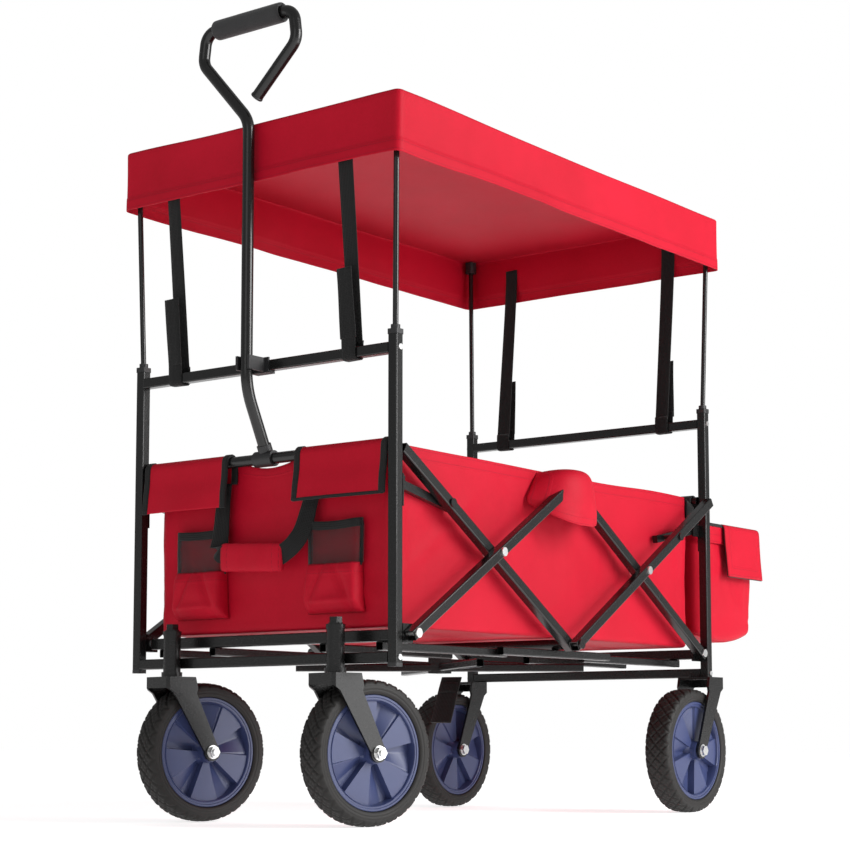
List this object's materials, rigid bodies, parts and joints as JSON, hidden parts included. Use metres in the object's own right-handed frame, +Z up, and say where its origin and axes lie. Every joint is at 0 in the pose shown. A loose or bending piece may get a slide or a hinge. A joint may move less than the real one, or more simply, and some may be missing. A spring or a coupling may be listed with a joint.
{
  "type": "folding camp wagon",
  "caption": "Folding camp wagon: fabric basket in crossing links between two end frames, swivel front wheels, pull handle, rear bag and a removable sun canopy.",
  "frame": {"origin": "on the ground under the middle of the wagon's box", "axes": "+X to the rear, away from the pull handle, +Y across, +Z up"},
  "size_m": [1.1082, 0.5564, 1.1605],
  "materials": {
    "black_paint": "gloss powder coat",
    "black_plastic": "moulded, fine grain",
    "zinc_steel": "zinc plated",
    "tyre_rubber": "matte with moulded tread",
    "hub_plastic": "satin moulded",
    "grip_foam": "matte foam",
    "black_webbing": "woven webbing",
    "red_cloth": "coated plain weave polyester"
  },
  "bodies": {
    "front_frame": {"front_posts": "black_paint", "front_crossbars": "black_paint", "front_plastic_caps": "black_plastic", "front_canopy_poles": "black_paint", "front_canopy_straps": "black_webbing", "front_brackets": "black_paint", "front_bolts": "zinc_steel", "front_floor_tubes": "black_paint", "caster_housings": "black_paint", "handle_clip": "black_plastic", "canopy": "red_cloth", "basket_front": "red_cloth", "front_flaps_and_grip": "red_cloth", "carry_strap": "black_webbing"},
    "pull_handle": {"handle_tube": "black_paint", "handle_sleeve": "black_plastic", "handle_grip": "grip_foam"},
    "middle_floor": {"middle_floor_tubes": "black_paint", "closing_strap": "black_webbing", "basket_middle": "red_cloth"},
    "rear_frame": {"rear_posts": "black_paint", "rear_crossbars": "black_paint", "rear_plastic_caps": "black_plastic", "rear_canopy_poles": "black_paint", "rear_canopy_straps": "black_webbing", "rear_brackets": "black_paint", "rear_bolts": "zinc_steel", "rear_floor_tubes": "black_paint", "rear_forks": "black_paint", "basket_rear": "red_cloth", "rear_bag": "red_cloth"},
    "bag_lid": {"rear_bag_lid": "red_cloth"},
    "left_front_rising": {"left_front_rising_link": "black_paint", "left_front_rivets": "zinc_steel"},
    "left_front_falling": {"left_front_falling_link": "black_paint"},
    "left_rear_falling": {"left_rear_falling_link": "black_paint"},
    "left_rear_rising": {"left_rear_rising_link": "black_paint", "left_rear_rivets": "zinc_steel"},
    "left_front_strut": {"left_front_strut": "black_paint"},
    "left_rear_strut": {"left_rear_strut": "black_paint"},
    "left_caster": {"left_caster_fork": "black_paint", "left_caster_axle": "zinc_steel"},
    "left_front_wheel": {"left_front_tyre": "tyre_rubber", "left_front_hub": "hub_plastic"},
    "left_rear_wheel": {"left_rear_tyre": "tyre_rubber", "left_rear_hub": "hub_plastic"},
    "right_front_rising": {"right_front_rising_link": "black_paint", "right_front_rivets": "zinc_steel"},
    "right_front_falling": {"right_front_falling_link": "black_paint"},
    "right_rear_falling": {"right_rear_falling_link": "black_paint"},
    "right_rear_rising": {"right_rear_rising_link": "black_paint", "right_rear_rivets": "zinc_steel"},
    "right_front_strut": {"right_front_strut": "black_paint"},
    "right_rear_strut": {"right_rear_strut": "black_paint"},
    "right_caster": {"right_caster_fork": "black_paint", "right_caster_axle": "zinc_steel"},
    "right_front_wheel": {"right_front_tyre": "tyre_rubber", "right_front_hub": "hub_plastic"},
    "right_rear_wheel": {"right_rear_tyre": "tyre_rubber", "right_rear_hub": "hub_plastic"}
  },
  "joints": [
    {"name": "fold", "type": "hinge", "parent": "front_frame", "child": "left_front_rising", "pos_m": [-0.46399, -0.256, 0.26], "axis": [0, -1, 0], "range_deg": [0, 38]},
    {"name": "left_front_cross", "type": "hinge", "parent": "left_front_rising", "child": "left_front_falling", "pos_m": [-0.26399, -0.24, 0.3835], "axis": [0, -1, 0], "range_deg": [-76, 0]},
    {"name": "left_top_pivot", "type": "hinge", "parent": "left_front_rising", "child": "left_rear_falling", "pos_m": [-0.06399, -0.24, 0.507], "axis": [0, -1, 0], "range_deg": [-76, 0]},
    {"name": "left_rear_cross", "type": "hinge", "parent": "left_rear_falling", "child": "left_rear_rising", "pos_m": [0.13601, -0.256, 0.3835], "axis": [0, -1, 0], "range_deg": [0, 76]},
    {"name": "left_front_strut_turn", "type": "hinge", "parent": "left_front_falling", "child": "left_front_strut", "pos_m": [-0.36399, -0.227, 0.44525], "axis": [0, -1, 0], "range_deg": [0, 115.59]},
    {"name": "left_rear_strut_turn", "type": "hinge", "parent": "left_rear_rising", "child": "left_rear_strut", "pos_m": [0.23601, -0.227, 0.44525], "axis": [0, -1, 0], "range_deg": [-115.59, 0]},
    {"name": "middle_pivot", "type": "hinge", "parent": "left_front_falling", "child": "middle_floor", "pos_m": [-0.06399, -0.24, 0.26], "axis": [0, -1, 0], "range_deg": [0, 38]},
    {"name": "rear_frame_pivot", "type": "hinge", "parent": "left_rear_falling", "child": "rear_frame", "pos_m": [0.33601, -0.24, 0.26], "axis": [0, -1, 0], "range_deg": [0, 38]},
    {"name": "right_fold", "type": "hinge", "parent": "front_frame", "child": "right_front_rising", "pos_m": [-0.46399, 0.256, 0.26], "axis": [0, -1, 0], "range_deg": [0, 38]},
    {"name": "right_front_cross", "type": "hinge", "parent": "right_front_rising", "child": "right_front_falling", "pos_m": [-0.26399, 0.24, 0.3835], "axis": [0, -1, 0], "range_deg": [-76, 0]},
    {"name": "right_top_pivot", "type": "hinge", "parent": "right_front_rising", "child": "right_rear_falling", "pos_m": [-0.06399, 0.24, 0.507], "axis": [0, -1, 0], "range_deg": [-76, 0]},
    {"name": "right_rear_cross", "type": "hinge", "parent": "right_rear_falling", "child": "right_rear_rising", "pos_m": [0.13601, 0.256, 0.3835], "axis": [0, -1, 0], "range_deg": [0, 76]},
    {"name": "right_front_strut_turn", "type": "hinge", "parent": "right_front_falling", "child": "right_front_strut", "pos_m": [-0.36399, 0.227, 0.44525], "axis": [0, -1, 0], "range_deg": [0, 115.59]},
    {"name": "right_rear_strut_turn", "type": "hinge", "parent": "right_rear_rising", "child": "right_rear_strut", "pos_m": [0.23601, 0.227, 0.44525], "axis": [0, -1, 0], "range_deg": [-115.59, 0]},
    {"name": "handle_tilt", "type": "hinge", "parent": "front_frame", "child": "pull_handle", "pos_m": [-0.47699, 0, 0.515], "axis": [0, -1, 0], "range_deg": [0, 110]},
    {"name": "left_caster_swivel", "type": "hinge", "parent": "front_frame", "child": "left_caster", "pos_m": [-0.50399, -0.1535, 0.2075], "axis": [0, 0, 1], "continuous": true},
    {"name": "left_front_wheel_spin", "type": "hinge", "parent": "left_caster", "child": "left_front_wheel", "pos_m": [-0.45332, -0.1652, 0.1], "axis": [0.225, 0.9744, 0], "continuous": true},
    {"name": "left_rear_wheel_spin", "type": "hinge", "parent": "rear_frame", "child": "left_rear_wheel", "pos_m": [0.28601, -0.24, 0.1], "axis": [0, 1, 0], "continuous": true},
    {"name": "right_caster_swivel", "type": "hinge", "parent": "front_frame", "child": "right_caster", "pos_m": [-0.50399, 0.1535, 0.2075], "axis": [0, 0, 1], "continuous": true},
    {"name": "right_front_wheel_spin", "type": "hinge", "parent": "right_caster", "child": "right_front_wheel", "pos_m": [-0.45332, 0.1418, 0.1], "axis": [0.225, 0.9744, 0], "continuous": true},
    {"name": "right_rear_wheel_spin", "type": "hinge", "parent": "rear_frame", "child": "right_rear_wheel", "pos_m": [0.28601, 0.24, 0.1], "axis": [0, 1, 0], "continuous": true},
    {"name": "bag_lid_lift", "type": "hinge", "parent": "rear_frame", "child": "bag_lid", "pos_m": [0.36651, 0, 0.4826], "axis": [0, -1, 0], "range_deg": [0, 88]}
  ],
  "couplings": [
    {"joint": "left_front_cross", "follows": "fold", "ratio": -2},
    {"joint": "left_top_pivot", "follows": "fold", "ratio": -2},
    {"joint": "left_rear_cross", "follows": "fold", "ratio": 2},
    {"joint": "left_front_strut_turn", "follows": "fold", "ratio": 3.0418},
    {"joint": "left_rear_strut_turn", "follows": "fold", "ratio": -3.0418},
    {"joint": "middle_pivot", "follows": "fold", "ratio": 1},
    {"joint": "rear_frame_pivot", "follows": "fold", "ratio": 1},
    {"joint": "right_fold", "follows": "fold", "ratio": 1},
    {"joint": "right_front_cross", "follows": "fold", "ratio": -2},
    {"joint": "right_top_pivot", "follows": "fold", "ratio": -2},
    {"joint": "right_rear_cross", "follows": "fold", "ratio": 2},
    {"joint": "right_front_strut_turn", "follows": "fold", "ratio": 3.0418},
    {"joint": "right_rear_strut_turn", "follows": "fold", "ratio": -3.0418}
  ]
}
